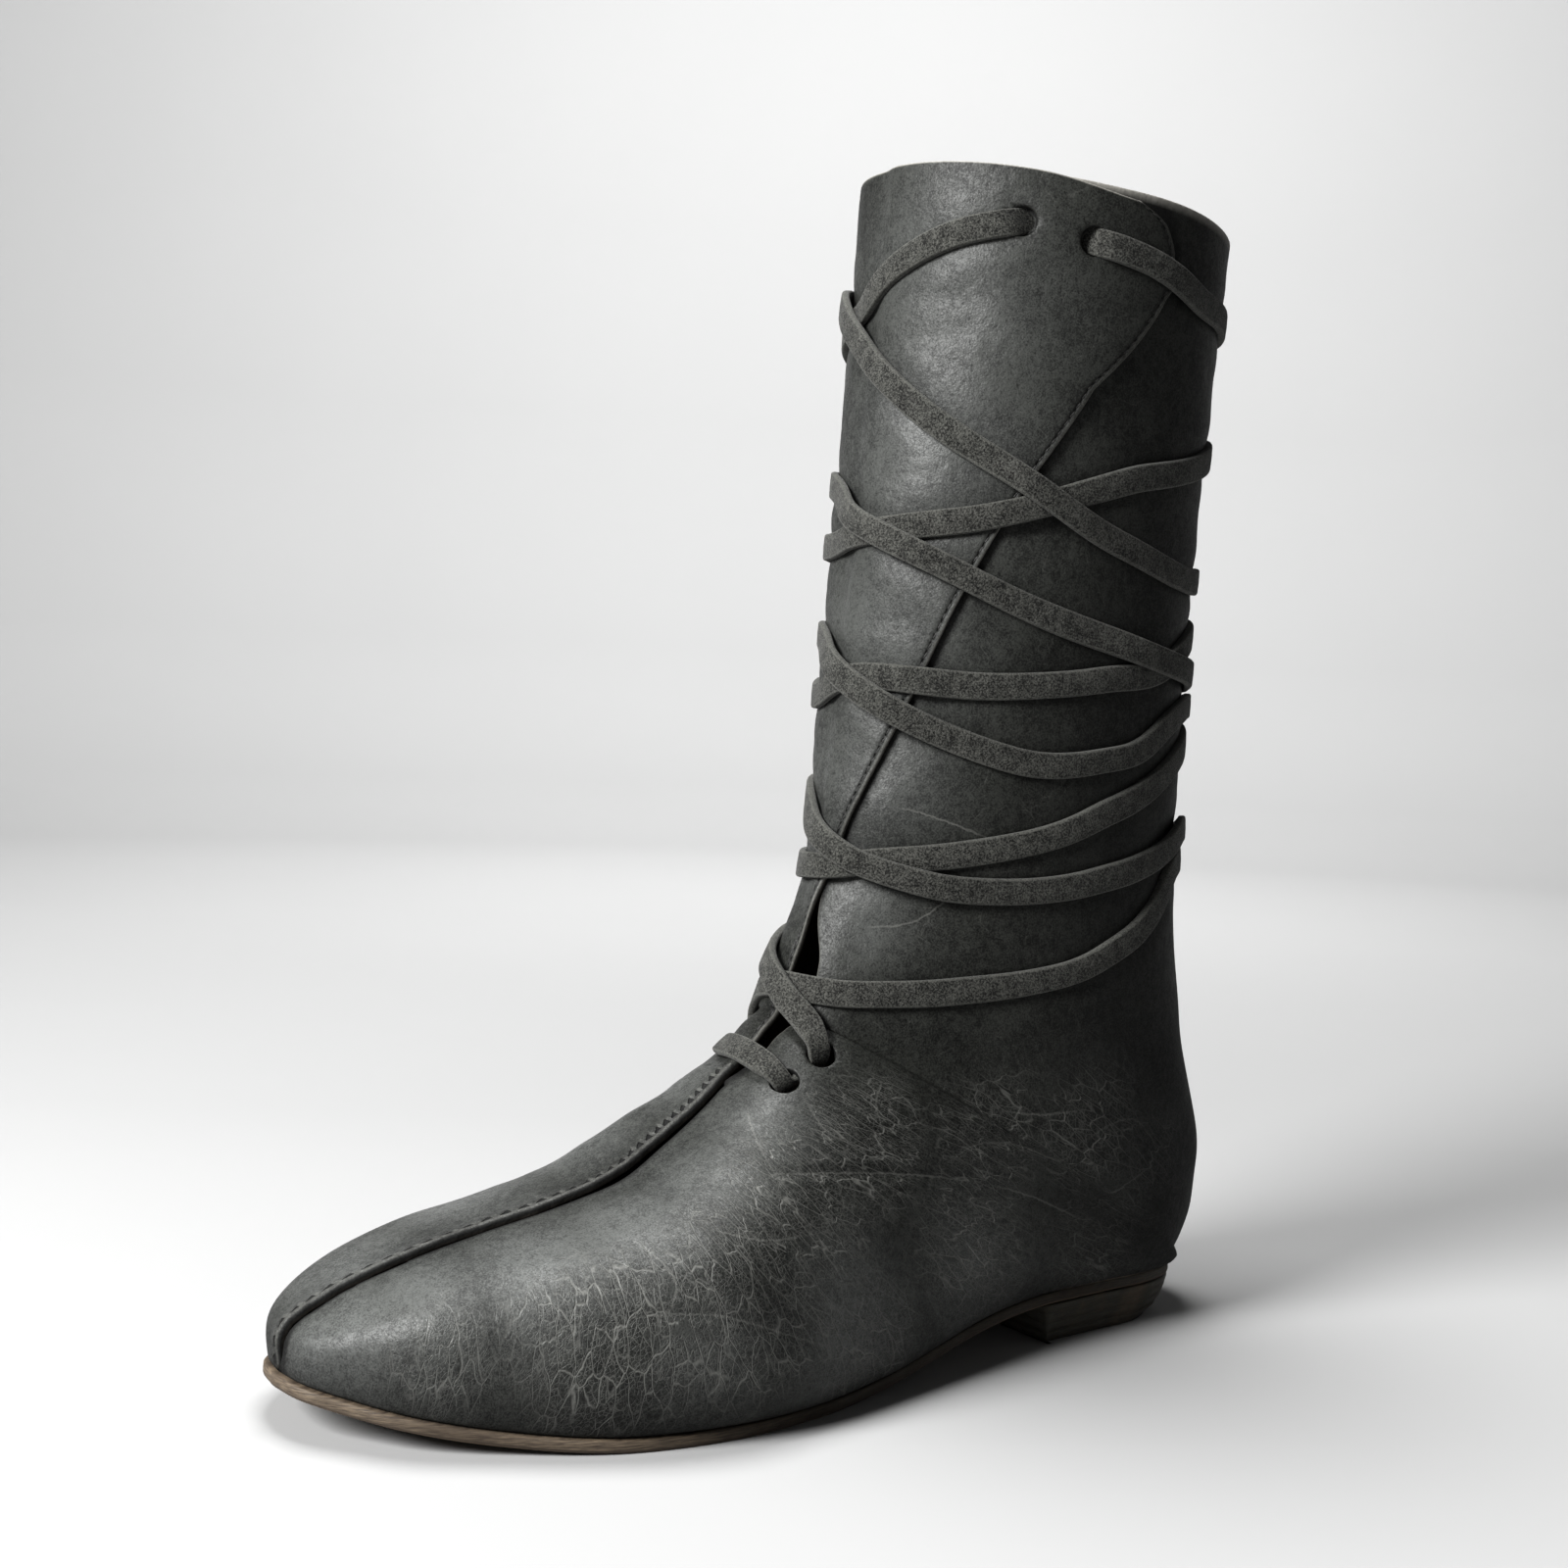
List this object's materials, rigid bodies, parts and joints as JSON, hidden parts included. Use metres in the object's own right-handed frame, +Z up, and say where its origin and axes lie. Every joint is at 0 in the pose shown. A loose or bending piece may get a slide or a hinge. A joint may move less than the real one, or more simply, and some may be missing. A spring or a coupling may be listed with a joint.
{
  "type": "lace-up mid-calf boot",
  "caption": "Mid-calf boot in soft crackled dark leather, with a wrap-over front flap, thin leather sole, low stacked heel and a flat suede lace wound round the shaft",
  "frame": {"origin": "middle of the heel's flat underside, on the floor", "axes": "+Z up, toe toward -Y, +X toward the outer side of this left boot"},
  "size_m": [0.1184, 0.2962, 0.3372],
  "materials": {
    "upper_leather": "distressed, fine light crackle, soft sheen",
    "insole_leather": "matt",
    "sole_leather": "raw edge, matt",
    "heel_stack": "stained stacked leather, satin",
    "lace_suede": "suede nap"
  },
  "bodies": {
    "root": {"upper": "upper_leather", "insole": "insole_leather", "outsole": "sole_leather", "heel": "heel_stack", "lace_wraps": "lace_suede", "lace_bar": "lace_suede"}
  },
  "joints": []
}
